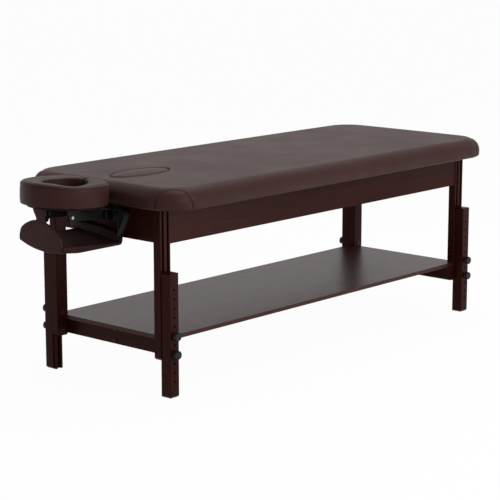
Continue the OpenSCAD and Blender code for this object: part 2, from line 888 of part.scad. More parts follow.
module cradle_knob()
  color([0.08, 0.08, 0.08])
    placed()
      translate([pivot_x, 0, post_z]) {
        translate([0, -arm_out - ear_gap, 0]) along_y(pivot_d, 2 * arm_out + 2 * ear_gap + nut_h);
        translate([0, -arm_out - ear_gap - cradle_knob_neck_h, 0])
          along_y(cradle_knob_neck_d, cradle_knob_neck_h);
        translate([0, -arm_out - ear_gap - cradle_knob_h, 0])
          rotate([-90, 0, 0])
            rotate_extrude()
              polygon([
                [0, 0], [cradle_knob_d / 2 * cradle_boss_share, 0],
                [cradle_knob_d / 2 * cradle_boss_share, cradle_dish],
                [cradle_knob_d / 2 * cradle_rim_share, cradle_dish],
                [cradle_knob_d / 2 * cradle_rim_share, 0],
                [cradle_knob_d / 2 - knob_bevel, 0], [cradle_knob_d / 2, knob_bevel],
                [cradle_knob_d / 2, cradle_knob_h - cradle_knob_neck_h - knob_bevel],
                [cradle_knob_d / 2 - knob_bevel, cradle_knob_h - cradle_knob_neck_h],
                [0, cradle_knob_h - cradle_knob_neck_h]
              ]);
      }

module cradle_nut()
  color([0.7, 0.7, 0.72])
    placed()
      translate([pivot_x, arm_out + fit, post_z])
        rotate([-90, 0, 0])
          difference() {
            cylinder(d = nut_across, h = nut_h, $fn = 6);
            translate([0, 0, -over]) cylinder(d = pivot_d + 2 * run_fit, h = nut_h + 2 * over);
          }

// cradle linkage and platform

// the headrest's slope about the tilt pivots
module tilted()
  translate([tilt_x, 0, tilt_z]) rotate([0, rest_tilt, 0]) translate([-tilt_x, 0, -tilt_z]) children();

module arm(sy)
  color([0.09, 0.09, 0.09])
    side(sy)
      upright(arm_in, arm_t)
        difference() {
          union() {
            translate([pivot_x, post_z]) circle(r = arm_tail_r);
            translate([tilt_x, tilt_z]) circle(r = arm_nose_r);
            polygon([
              [pivot_x, post_z - arm_tail_r], [pivot_x, post_z + arm_tail_r],
              [pivot_x + arm_top_dx, post_z + arm_top_dz],
              [tilt_x - arm_nose_r, tilt_z + arm_nose_r], [tilt_x - arm_nose_r, tilt_z],
              [tilt_x, tilt_z - arm_nose_r]
            ]);
          }
          translate([pivot_x, post_z]) circle(d = pivot_d + 2 * run_fit);
          translate([tilt_x, tilt_z]) circle(d = pivot_d + 2 * run_fit);
        }
module arm_left() arm(-1);
module arm_right() arm(1);

module tilt_pivots()
  color([0.75, 0.75, 0.77])
    for (sy = [-1, 1])
      side(sy)
        translate([tilt_x, arm_in - fit - pivot_nut_t, tilt_z]) {
          along_y(pivot_d, pivot_nut_t + ear_in + ear_t - arm_in + 3 * fit);
          along_y(pivot_head_d, pivot_nut_t);
          translate([0, pivot_nut_t + ear_in + ear_t - arm_in + 2 * fit, 0]) along_y(pivot_head_d, pivot_head_t);
        }

module bracket(sy)
  color([0.09, 0.09, 0.09])
    side(sy) tilted()
      difference() {
        union() {
          translate([tilt_x, 0, tilt_z])
            upright(ear_in, ear_t) {
              polygon([
                [-ear_fore, board_gap], [ear_aft, board_gap], [ear_aft, board_gap - ear_t],
                [ear_tip_r, -ear_drop], [-ear_tip_r - ear_t, -ear_drop]
              ]);
              translate([-ear_t / 2, -ear_drop]) circle(r = ear_tip_r + ear_t / 2);
            }
          board(
            [tilt_x - ear_fore, ear_in, board_low - ear_t],
            [tilt_x + ear_aft, ear_in + flange_w, board_low]
          );
        }
        translate([tilt_x, ear_in - over, tilt_z]) along_y(pivot_d + 2 * run_fit, ear_t + 2 * over);
        platform_screw_line(run_fit);
      }
module bracket_left() bracket(-1);
module bracket_right() bracket(1);

module platform_screw_line(gap)
  for (x = [-platform_screw_x, platform_screw_x])
    translate([tilt_x + (ear_aft - ear_fore) / 2 + x, ear_in + ear_t + flange_w / 2, board_low - ear_t])
      screw(screw_d, platform_screw_len, gap);

module platform_board()
  color([0.72, 0.58, 0.4])
    placed() tilted()
      difference() {
        translate([rest_x, 0, board_low]) cylinder(r = board_r, h = board_t);
        translate([rest_x, 0, board_low - over]) {
          cylinder(r = board_hole_r, h = board_t + 2 * over);
          translate([rest_cut - board_rear_in, -board_r, 0])
            cube([board_r, 2 * board_r, board_t + 2 * over]);
          translate([0, -board_slot / 2, 0]) cube([board_r, board_slot, board_t + 2 * over]);
        }
        for (m = [0, 1]) mirror([0, m, 0]) platform_screw_line(run_fit);
      }

module platform_screws()
  color([0.75, 0.72, 0.55])
    for (sy = [-1, 1]) side(sy) tilted() platform_screw_line(0);

// radii of the horseshoe's inner and outer edge at an angle from its mouth
function ring_in(a) =
  rest_hole_l * rest_hole_w / 2 / sqrt(pow(rest_hole_w * cos(a), 2) + pow(rest_hole_l * sin(a), 2));
function ring_out(a) = cos(a) > rest_cut / rest_r ? rest_cut / cos(a) : rest_r;

// the horseshoe's section at an angle, as a stack of discs
module puck(a) {
  w = ring_out(a) - ring_in(a);
  rotate([0, 0, a])
    for (s = ring_shares)
      translate([ring_in(a) + w * (1 + s[2] - s[1]) / 2, 0, s[0] * (rest_t - sliver)])
        cylinder(r = w * (1 - s[1] - s[2]) / 2, h = sliver, $fn = 20);
}

module headrest_cushion()
  color([0.27, 0.2, 0.19])
    placed() tilted()
      translate([rest_x, 0, rest_low])
        for (m = [0, 1])
          mirror([0, m, 0])
            for (i = [1 : len(rest_angles) - 1])
              hull() {
                puck(rest_angles[i - 1]);
                puck(rest_angles[i]);
              }

// armrest sling

tray_len = tray_rear_x - tray_front_x;

module tray_pocket(gap)
  translate([tray_front_x + tray_board_in - gap, -tray_w / 2 + tray_board_in - gap, tray_low])
    translate([0, 0, (tray_t - tray_board_t) / 2 - gap])
      cube([
        tray_len - 2 * tray_board_in + 2 * gap, tray_w - 2 * tray_board_in + 2 * gap, tray_board_t + 2 * gap
      ]);

module sling_tray()
  color([0.24, 0.17, 0.16])
    placed()
      difference() {
        union() {
          translate([tray_front_x + tray_len / 2, 0, tray_low])
            padding(tray_len, tray_w, tray_t, tray_corner, tray_round, tray_round, 0);
          translate([tray_rear_x - tray_wall_t / 2, 0, tray_low])
            padding(tray_wall_t, tray_w, tray_wall, tray_wall_t / 2, tray_wall_round, tray_wall_round, 0);
        }
        tray_pocket(fit);
      }

module sling_board() color([0.72, 0.58, 0.4]) placed() tray_pocket(0);

// half outline of the front panel, mirrored and closed
function both(half) =
  concat(half, [for (i = [len(half) - 1 : -1 : 0]) [-half[i][0], half[i][1]]]);

module panel(points, mid_z)
  hull()
    for (s = [0, 1])
      translate([front_x - front_t * (1 + s) / 2, 0, mid_z])
        rotate([90, 0, 90])
          linear_extrude(front_t * (1 + s) / 2)
            polygon([for (p = points) [p[0] * (1 - panel_inset * s), (p[1] - mid_z) * (1 - panel_inset * s)]]);

module sling_front()
  color([0.24, 0.17, 0.16])
    placed() {
      panel(
        both([for (s = bell_shares) [tray_w / 2 * s[0], front_low + bell_h * s[1]]]),
        front_low + bell_h / 2
      );
      panel(
        both([for (s = neck_shares) [tray_w / 2 * s[0], front_low + bell_h + (neck_top - front_low - bell_h) * s[1]]]),
        (front_low + bell_h + neck_top) / 2
      );
      tilted()
        board(
          [front_x - front_t / 2, -neck_tab_w / 2, board_low - fit - tab_t],
          [front_x + neck_tab_len, neck_tab_w / 2, board_low - fit]
        );
    }

module sling_straps()
  color([0.07, 0.07, 0.07])
    for (sy = [-1, 1])
      side(sy)
        translate([strap_rear_x - strap_w, 0, 0])
          rotate([90, 0, 90])
            linear_extrude(strap_w)
              difference() {
                hull() {
                  translate([post_gap / 2, post_z]) circle(d = post_d + 2 * fit + 2 * strap_t, $fn = soft_fn);
                  translate([strap_low_y, tray_top + strap_lift]) circle(d = 2 * strap_t, $fn = soft_fn);
                }
                hull() {
                  translate([post_gap / 2, post_z]) circle(d = post_d + 2 * fit, $fn = soft_fn);
                  translate([strap_low_y, tray_top + strap_lift + strap_t * 2]) circle(d = fit, $fn = soft_fn);
                }
              }

top_pad();
deck_board();
face_plug();
deck_slats();
cleat_left();
cleat_right();
side_apron_left();
side_apron_right();
end_apron_head();
end_apron_foot();
corner_blocks();
corner_bolts();
apron_dowels();
deck_screws();
cleat_screws();
inner_leg_head_left();
inner_leg_head_right();
inner_leg_foot_left();
inner_leg_foot_right();
outer_leg_head_left();
outer_leg_head_right();
outer_leg_foot_left();
outer_leg_foot_right();
low_knob_head_left();
low_knob_head_right();
low_knob_foot_left();
low_knob_foot_right();
high_knob_head_left();
high_knob_head_right();
high_knob_foot_left();
high_knob_foot_right();
tee_nuts();
shelf_board();
shelf_rail_head();
shelf_rail_foot();
shelf_stretcher();
stretcher_bolts();
barrel_nuts();
rail_screws();
shelf_dowels();
guide_block_left();
guide_block_right();
post_bushes();
post_left();
post_right();
cradle_bridge();
cradle_knob();
cradle_nut();
arm_left();
arm_right();
tilt_pivots();
bracket_left();
bracket_right();
platform_board();
platform_screws();
headrest_cushion();
sling_tray();
sling_board();
sling_front();
sling_straps();
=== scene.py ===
import math

import bmesh
import bpy
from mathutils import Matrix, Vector


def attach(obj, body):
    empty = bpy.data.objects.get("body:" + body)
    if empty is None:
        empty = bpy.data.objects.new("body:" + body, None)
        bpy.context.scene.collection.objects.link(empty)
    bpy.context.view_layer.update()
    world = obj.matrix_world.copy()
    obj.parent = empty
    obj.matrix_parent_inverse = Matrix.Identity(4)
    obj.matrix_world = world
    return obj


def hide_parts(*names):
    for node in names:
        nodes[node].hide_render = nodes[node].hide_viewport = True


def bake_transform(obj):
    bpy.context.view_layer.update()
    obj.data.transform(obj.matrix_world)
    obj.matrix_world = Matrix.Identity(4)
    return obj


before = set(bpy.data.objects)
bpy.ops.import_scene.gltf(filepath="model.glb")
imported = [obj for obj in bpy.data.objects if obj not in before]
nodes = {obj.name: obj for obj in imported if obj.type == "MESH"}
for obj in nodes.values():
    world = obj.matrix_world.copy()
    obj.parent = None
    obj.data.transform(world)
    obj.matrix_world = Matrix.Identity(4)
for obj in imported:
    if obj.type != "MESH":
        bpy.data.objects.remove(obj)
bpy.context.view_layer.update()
scene = bpy.context.scene
tableX = 0.142717  # the table's own middle, from the bounding box's middle
print("frame loaded:", len(nodes), "nodes")

# camera and studio

camera = {
    "place": (-4.953 + tableX, -4.277, 1.646),
    "target": (-0.119 + tableX, 0.0, 0.3627),
    "lens": 124.7,
}


def makeCamera():
    data = bpy.data.cameras.new("studioCamera")
    data.sensor_width = 36
    data.lens = camera["lens"]
    data.clip_end = 200
    rig = bpy.data.objects.new("studioCamera", data)
    scene.collection.objects.link(rig)
    rig.location = camera["place"]
    aim = Vector(camera["target"]) - Vector(camera["place"])
    rig.rotation_euler = aim.to_track_quat("-Z", "Y").to_euler()
    scene.camera = rig


makeCamera()


# shader helpers


class Signal:
    # one output socket, with arithmetic that adds Math nodes
    def __init__(self, finish, socket):
        self.finish = finish
        self.socket = socket

    def combine(self, operation, first, second):
        return self.finish.add("ShaderNodeMath", {"operation": operation}, {0: first, 1: second})

    def __add__(self, other):
        return self.combine("ADD", self, other)

    def __radd__(self, other):
        return self.combine("ADD", other, self)

    def __sub__(self, other):
        return self.combine("SUBTRACT", self, other)

    def __rsub__(self, other):
        return self.combine("SUBTRACT", other, self)

    def __mul__(self, other):
        return self.combine("MULTIPLY", self, other)

    def __rmul__(self, other):
        return self.combine("MULTIPLY", other, self)

    def __truediv__(self, other):
        return self.combine("DIVIDE", self, other)

    def __rtruediv__(self, other):
        return self.combine("DIVIDE", other, self)

    def __pow__(self, other):
        return self.combine("POWER", self, other)


class Finish:
    # a material and the nodes in it
    def __init__(self, name):
        self.material = bpy.data.materials.new(name)
        self.material.use_nodes = True
        self.tree = self.material.node_tree
        self.tree.nodes.clear()
        self.output = self.tree.nodes.new("ShaderNodeOutputMaterial")

    def add(self, kind, settings=None, sockets=None, out=0):
        node = self.tree.nodes.new(kind)
        for key, value in (settings or {}).items():
            setattr(node, key, value)
        for key, value in (sockets or {}).items():
            if isinstance(value, Signal):
                self.tree.links.new(value.socket, node.inputs[key])
            else:
                node.inputs[key].default_value = value
        return Signal(self, node.outputs[out])

    def place(self, scale=(1, 1, 1)):
        spot = self.add("ShaderNodeTexCoord", out="Object")
        return self.add("ShaderNodeMapping", None, {"Vector": spot, "Scale": scale})

    def cloud(self, spot, scale, detail, rough=0.5, distort=0.0):
        return self.add(
            "ShaderNodeTexNoise",
            None,
            {"Vector": spot, "Scale": scale, "Detail": detail, "Roughness": rough, "Distortion": distort},
        )

    def cells(self, spot, scale):
        return self.add("ShaderNodeTexVoronoi", {"feature": "SMOOTH_F1"}, {"Vector": spot, "Scale": scale})

    def fit(self, value, low, high):
        return self.add("ShaderNodeMapRange", None, {0: value, 1: low, 2: high, 3: 0.0, 4: 1.0})

    def tone(self, amount, first, second):
        return self.add("ShaderNodeMix", {"data_type": "RGBA"}, {0: amount, 6: first, 7: second}, 2)

    def bump(self, height, strength, distance):
        return self.add("ShaderNodeBump", None, {"Height": height, "Strength": strength, "Distance": distance})

    def surface(self, sockets):
        shader = self.add("ShaderNodeBsdfPrincipled", None, sockets)
        self.tree.links.new(shader.socket, self.output.inputs["Surface"])
        return self.material


def ink(red, green, blue):
    # a colour given as it shows on the screen, from 0 to 255
    def straight(value):
        value /= 255
        return value / 12.92 if value <= 0.04045 else ((value + 0.055) / 1.055) ** 2.4

    return (straight(red), straight(green), straight(blue), 1.0)


# finishes

vinyl = {
    "shade": ink(56, 34, 32),
    "deep": ink(44, 25, 24),
    "grain": 620.0,
    "rough": 0.46,
}


def makeVinyl(name, shade, deep, rough):
    finish = Finish(name)
    spot = finish.place()
    broad = finish.fit(finish.cloud(spot, 5.0, 3.0), 0.35, 0.65)
    speck = finish.cloud(spot, 900.0, 2.0)
    pull = finish.cloud(finish.place((2.0, 60.0, 60.0)), 1.0, 3.0)
    grain = finish.cells(spot, vinyl["grain"])
    crease = finish.fit(grain, 0.0, 0.75)
    colour = finish.tone(broad * 0.3 + speck * 0.2 + pull * 0.4, shade, deep)
    height = crease * 0.8 + speck * 0.2
    return finish.surface(
        {
            "Base Color": colour,
            "Roughness": broad * 0.05 + pull * 0.06 + crease * 0.08 + (rough - 0.08),
            "Normal": finish.bump(height, 0.35, 0.0006),
            "Specular IOR Level": 0.16,
            "Specular Tint": (0.9, 0.66, 0.62, 1.0),
        }
    )


wood = {
    "tones": (ink(50, 16, 11), ink(25, 7, 5), ink(12, 4, 3)),  # light, dark and pore
    "rough": 0.34,
}


def makeWood(name, along, tones, rough, figure=1.0, shine=0.08):
    finish = Finish(name)
    light, dark, pore = tones

    def stretched(across, lengthwise):
        # a place that changes more slowly along the grain
        return finish.place(tuple(lengthwise if axis == along else across for axis in range(3)))

    figureTone = finish.fit(finish.cloud(stretched(9.0, 0.7), 3.0, 6.0, 0.6, 0.6), 0.3, 0.7)
    fibre = finish.fit(finish.cloud(stretched(55.0, 2.2), 4.0, 4.0, 0.7), 0.35, 0.7)
    pores = finish.fit(finish.cloud(stretched(160.0, 9.0), 3.0, 2.0), 0.62, 0.74)
    base = finish.tone(figureTone * (0.6 * figure) + fibre * (0.4 * figure), light, dark)
    return finish.surface(
        {
            "Base Color": finish.tone(pores * 0.55, base, pore),
            "Roughness": fibre * 0.07 + (rough - 0.03),
            "Normal": finish.bump(fibre * 0.5 - pores * 0.6, 0.12, 0.0005),
            "Specular IOR Level": shine,
            "Specular Tint": (0.85, 0.5, 0.46, 1.0),
        }
    )


def makePlastic(name, shade, rough):
    finish = Finish(name)
    spot = finish.place()
    fine = finish.cloud(spot, 1400.0, 2.0)
    broad = finish.cloud(spot, 40.0, 3.0)
    return finish.surface(
        {
            "Base Color": finish.tone(broad * 0.4, shade, tuple(c * 0.6 for c in shade[:3]) + (1.0,)),
            "Roughness": fine * 0.1 + (rough - 0.05),
            "Specular IOR Level": 0.25,
            "Normal": finish.bump(fine, 0.15, 0.0003),
        }
    )


def makeMetal(name, shade, rough, coated=False):
    finish = Finish(name)
    spot = finish.place()
    fine = finish.cloud(spot, 700.0, 3.0)
    broad = finish.cloud(spot, 25.0, 3.0)
    return finish.surface(
        {
            "Base Color": finish.tone(broad * 0.5, shade, tuple(c * 0.75 for c in shade[:3]) + (1.0,)),
            "Metallic": 0.0 if coated else 1.0,
            "Specular IOR Level": 0.2 if coated else 0.5,
            "Roughness": fine * 0.12 + (rough - 0.06),
            "Normal": finish.bump(fine, 0.1, 0.0002),
        }
    )


def makeWebbing(name):
    finish = Finish(name)
    spot = finish.place()
    along = finish.add("ShaderNodeTexWave", {"bands_direction": "Z"}, {"Vector": spot, "Scale": 160.0})
    across = finish.add("ShaderNodeTexWave", {"bands_direction": "X"}, {"Vector": spot, "Scale": 110.0})
    weave = along * across
    return finish.surface(
        {
            "Base Color": finish.tone(weave, ink(16, 16, 17), ink(34, 34, 36)),
            "Roughness": 0.8,
            "Normal": finish.bump(weave, 0.5, 0.0006),
        }
    )


finishes = {
    "vinyl": makeVinyl("brownVinyl", vinyl["shade"], vinyl["deep"], vinyl["rough"]),
    "slingVinyl": makeVinyl("slingVinyl", ink(54, 31, 30), ink(40, 22, 21), 0.5),
    # painted shade: a darker copy of the vinyl for the headrest hole's inner wall
    "paintedHoleShade": makeVinyl("paintedHoleShadeVinyl", ink(40, 23, 22), ink(28, 15, 14), 0.55),
    # painted shade: a darker copy of the vinyl for the sling's tray and the headrest's outer piping
    "paintedShadeVinyl": makeVinyl("paintedShadeVinyl", ink(38, 21, 20), ink(27, 14, 13), 0.5),
    "shelfWood": makeWood("stainedShelf", 0, (ink(54, 21, 16), ink(30, 11, 8), ink(16, 6, 5)), 0.34, shine=0.3),
    "woodX": makeWood("stainAlongTable", 0, wood["tones"], wood["rough"]),
    "woodY": makeWood("stainAcrossTable", 1, wood["tones"], wood["rough"]),
    "woodZ": makeWood("stainUpright", 2, wood["tones"], wood["rough"]),
    "plywood": makeWood("plywood", 0, (ink(200, 172, 132), ink(170, 138, 98), ink(150, 118, 82)), 0.6, 0.6),
    "darkBoard": makeWood("stainedBoard", 0, (ink(34, 26, 24), ink(22, 16, 15), ink(14, 10, 10)), 0.5, 0.8),
    "rawWood": makeWood("planedHardwood", 0, (ink(176, 140, 100), ink(140, 104, 70), ink(110, 80, 54)), 0.55, 0.8),
    "dowel": makeWood("beechDowel", 0, (ink(214, 186, 146), ink(190, 158, 116), ink(170, 138, 98)), 0.6, 0.6),
    "blackPlastic": makePlastic("knobPlastic", ink(14, 14, 15), 0.42),
    "nylon": makePlastic("bushNylon", ink(30, 30, 31), 0.5),
    "blackSteel": makeMetal("powderCoat", ink(13, 16, 16), 0.42, True),
    "blackened": makeMetal("blackenedSteel", ink(24, 17, 16), 0.5, True),
    "pivotSteel": makeMetal("pivotSteel", ink(118, 116, 114), 0.24),
    "zinc": makeMetal("zincPlate", ink(196, 196, 200), 0.3),
    "yellowZinc": makeMetal("yellowZinc", ink(200, 184, 130), 0.34),
    "webbing": makeWebbing("slingWebbing"),
    "thread": makePlastic("seamThread", ink(16, 10, 10), 0.8),
}

wears = {
    "plywood": ["deck_board"],
    "darkBoard": ["platform_board"],
    "rawWood": ["deck_slats", "cleat_left", "cleat_right", "corner_blocks", "guide_block_left", "guide_block_right"],
    "dowel": ["apron_dowels", "shelf_dowels"],
    "zinc": ["corner_bolts", "cradle_nut"],
    "blackened": ["stretcher_bolts", "tee_nuts", "rail_screws"],
    "pivotSteel": ["tilt_pivots"],
    "yellowZinc": ["deck_screws", "cleat_screws", "platform_screws", "barrel_nuts"],
    "nylon": ["post_bushes"],
    "blackSteel": [
        "post_left", "post_right", "cradle_bridge", "arm_left", "arm_right", "bracket_left", "bracket_right",
    ],
    "shelfWood": ["shelf_board"],
    "woodX": ["side_apron_left", "side_apron_right", "shelf_stretcher"],
    "woodY": ["end_apron_head", "end_apron_foot", "shelf_rail_head", "shelf_rail_foot"],
    "woodZ": [name for name in nodes if "_leg_" in name],
    "blackPlastic": [name for name in nodes if "knob" in name],
}
for finishName, members in wears.items():
    for member in members:
        node = nodes[member]
        if not node.material_slots:
            node.data.materials.append(finishes[finishName])
        for slot in node.material_slots:
            slot.material = finishes[finishName]
print("finishes done")


# soft pieces

mm = 0.001
quarters = ((1, 1), (-1, 1), (-1, -1), (1, -1))  # signs of the four corners, going round


def at(x, y, z):
    # millimetres from the table's own middle to a point of the frame
    return Vector((x * mm + tableX, y * mm, z * mm))


def makeSkin(name, rows, wrap=False, caps=(False, False), crease=50):
    # closed rows of points joined into one mesh of quads; wrap joins the last row to the first
    count = len(rows[0])
    points = [tuple(point) for row in rows for point in row]
    faces = []
    for index in range(len(rows) if wrap else len(rows) - 1):
        first, second = index * count, ((index + 1) % len(rows)) * count
        for i in range(count):
            j = (i + 1) % count
            faces.append((first + i, first + j, second + j, second + i))
    for closed, row in zip(caps, (0, len(rows) - 1)):
        if closed:
            points.append(tuple(sum((Vector(point) for point in rows[row]), Vector()) / count))
            for i in range(count):
                faces.append((row * count + i, row * count + (i + 1) % count, len(points) - 1))
    mesh = bpy.data.meshes.new(name)
    mesh.from_pydata(points, [], faces)
    work = bmesh.new()
    work.from_mesh(mesh)
    bmesh.ops.remove_doubles(work, verts=work.verts, dist=0.00002)
    bmesh.ops.recalc_face_normals(work, faces=work.faces)
    work.to_mesh(mesh)
    work.free()
    for face in mesh.polygons:
        face.use_smooth = True
    mesh.set_sharp_from_angle(angle=math.radians(crease))
    piece = bpy.data.objects.new(name, mesh)
    scene.collection.objects.link(piece)
    return piece


def wear(piece, finishName):
    piece.data.materials.append(finishes[finishName])


def ease(value):
    value = min(1.0, max(0.0, value))
    return value * value * (3 - 2 * value)


def smoothLoop(keys, steps):
    # Catmull-Rom through the key points of a closed loop
    out = []
    count = len(keys)
    for i in range(count):
        before, start, end, after = (Vector(keys[(i + k) % count]) for k in (-1, 0, 1, 2))
        for step in range(steps):
            t = step / steps
            out.append(
                0.5
                * (
                    2 * start
                    + (end - before) * t
                    + (2 * before - 5 * start + 4 * end - after) * t * t
                    + (3 * start - before - 3 * end + after) * t * t * t
                )
            )
    return out


def tubeRows(path, radius, sides=8):
    # rings around an open path of points
    rows = []
    up = Vector((0.0, 0.0, 1.0))
    for i, point in enumerate(path):
        along = (path[min(i + 1, len(path) - 1)] - path[max(i - 1, 0)]).normalized()
        side = along.cross(up)
        if side.length < 0.2:
            side = along.cross(Vector((1.0, 0.0, 0.0)))
        side.normalize()
        lift = side.cross(along)
        rows.append(
            [
                point
                + side * (radius * math.cos(2 * math.pi * k / sides))
                + lift * (radius * math.sin(2 * math.pi * k / sides))
                for k in range(sides)
            ]
        )
    return rows


topPad = {
    "long": 1850.0,
    "wide": 760.0,
    "low": 651.0,
    "edgeTop": 725.0,
    "crown": 5.0,
    "corner": 130.0,
    "roll": 45.0,
    "under": 9.0,
    "belly": 1.6,  # how far the sides swell
    "bellyAt": 676.0,
    "bellyHigh": 20.0,
    "deckIn": 20.3,
    "deckTop": 660.4,
    "holeX": -702.0,
    "holeLong": 268.4,
    "holeWide": 128.4,
    "holeRoll": 11.0,
    "holeLow": 695.0,
    "patchHalf": 67.0,  # half width of a corner's sewn patch along the edge
    "patchHigh": 80.0,
    "patchPower": 2.3,
    "patchSwell": 6.0,
    "patchFlat": 2.4,  # how flat the swelling's middle is
    "seamDeep": 1.9,
    "seamWide": 2.6,
    "threadRadius": 1.15,
    "threadOut": 0.3,
    "riseUnder": 10.0,  # way along the surface to the end of the lower rounding
    "riseWall": 30.0,  # and to the end of the upright wall
    "endSteps": 12,  # along half an end
    "sideSteps": 72,
    "arcSteps": 84,
    "seamSteps": 60,
    "topRows": 40,
    "topCrowd": 1.25,  # rows crowd towards the opening
}


def ovalPoint(long, wide, angle):
    # the face opening's outline, slightly pointed at both ends
    cosine, sine = math.cos(angle), math.sin(angle)
    return long / 2 * cosine, wide / 2 * math.copysign(abs(sine) ** 1.12, sine)


def outward(base, normal, reach):
    return base[0] + normal[0] * reach, base[1] + normal[1] * reach


def padStations():
    # places round the pad: base point, outward direction, and distance from the corner's middle
    k = topPad
    halfLong, halfWide, corner = k["long"] / 2 - k["corner"], k["wide"] / 2 - k["corner"], k["corner"]
    out = []

    def straight(start, end, normal, steps):
        for step in range(steps):
            share = step / steps
            base = (start[0] + (end[0] - start[0]) * share, start[1] + (end[1] - start[1]) * share)
            near = min(math.dist(base, start), math.dist(base, end))
            out.append((base, normal, corner * math.pi / 4 + near))

    def arc(centre, begin):
        for step in range(k["arcSteps"]):
            turn = 90 * step / k["arcSteps"]
            angle = math.radians(begin + turn)
            out.append((centre, (math.cos(angle), math.sin(angle)), corner * abs(math.radians(turn - 45))))

    straight((halfLong, 0), (halfLong, halfWide), (1, 0), k["endSteps"])
    arc((halfLong, halfWide), 0)
    straight((halfLong, halfWide), (-halfLong, halfWide), (0, 1), k["sideSteps"])
    arc((-halfLong, halfWide), 90)
    straight((-halfLong, halfWide), (-halfLong, -halfWide), (-1, 0), 2 * k["endSteps"])
    arc((-halfLong, -halfWide), 180)
    straight((-halfLong, -halfWide), (halfLong, -halfWide), (0, -1), k["sideSteps"])
    arc((halfLong, -halfWide), 270)
    straight((halfLong, -halfWide), (halfLong, 0), (1, 0), k["endSteps"])
    return out


def padProfile():
    # the edge's section from below: inset, height, outward slope, way along the surface
    k = topPad
    profile = []
    for step in range(5):
        angle = math.radians(90 * step / 4)
        inset, height = k["under"] * (1 - math.sin(angle)), k["low"] + k["under"] * (1 - math.cos(angle))
        profile.append((inset, height, angle, k["riseUnder"] * step / 4))
    for step in range(1, 7):
        share = step / 7
        height = k["low"] + k["under"] + share * (k["edgeTop"] - k["roll"] - k["low"] - k["under"])
        rise = k["riseUnder"] + share * (k["riseWall"] - k["riseUnder"])
        profile.append((0.0, height, math.pi / 2, rise))
    for step in range(25):
        angle = math.radians(90 * step / 24)
        inset, height = k["roll"] * (1 - math.cos(angle)), k["edgeTop"] - k["roll"] * (1 - math.sin(angle))
        profile.append((inset, height, math.pi / 2 + angle, k["riseWall"] + k["roll"] * angle))
    return profile


def profileAt(profile, rise):
    for low, high in zip(profile, profile[1:]):
        if rise <= high[3]:
            share = (rise - low[3]) / max(1e-6, high[3] - low[3])
            return tuple(low[i] + (high[i] - low[i]) * share for i in range(3))
    return profile[-1][:3]


def padCrown(x, y):
    k = topPad
    return k["crown"] * max(0.0, 1 - (2 * y / k["wide"]) ** 2) * max(0.0, 1 - (2 * x / k["long"]) ** 4)


def padBulge(height):
    k = topPad
    return k["belly"] * math.exp(-(((height - k["bellyAt"]) / k["bellyHigh"]) ** 2))


def patchDepth(along, rise):
    # how far a corner's surface stands out inside its seam, and sinks at the seam
    k = topPad
    power = k["patchPower"]
    reach = ((abs(along) / k["patchHalf"]) ** power + (max(0.0, rise) / k["patchHigh"]) ** power) ** (1 / power)
    inside = max(0.0, 1 - reach ** k["patchFlat"]) * k["patchSwell"]
    away = (reach - 1) * k["patchHalf"]
    return inside - k["seamDeep"] * math.exp(-((away / k["seamWide"]) ** 2))


def padHeight(x, y, inset, height, slope, out):
    # height of the edge's surface at a point that stands out by some way
    return height + out * max(0.0, -math.cos(slope)) + padCrown(x, y) * ease(inset / topPad["roll"])


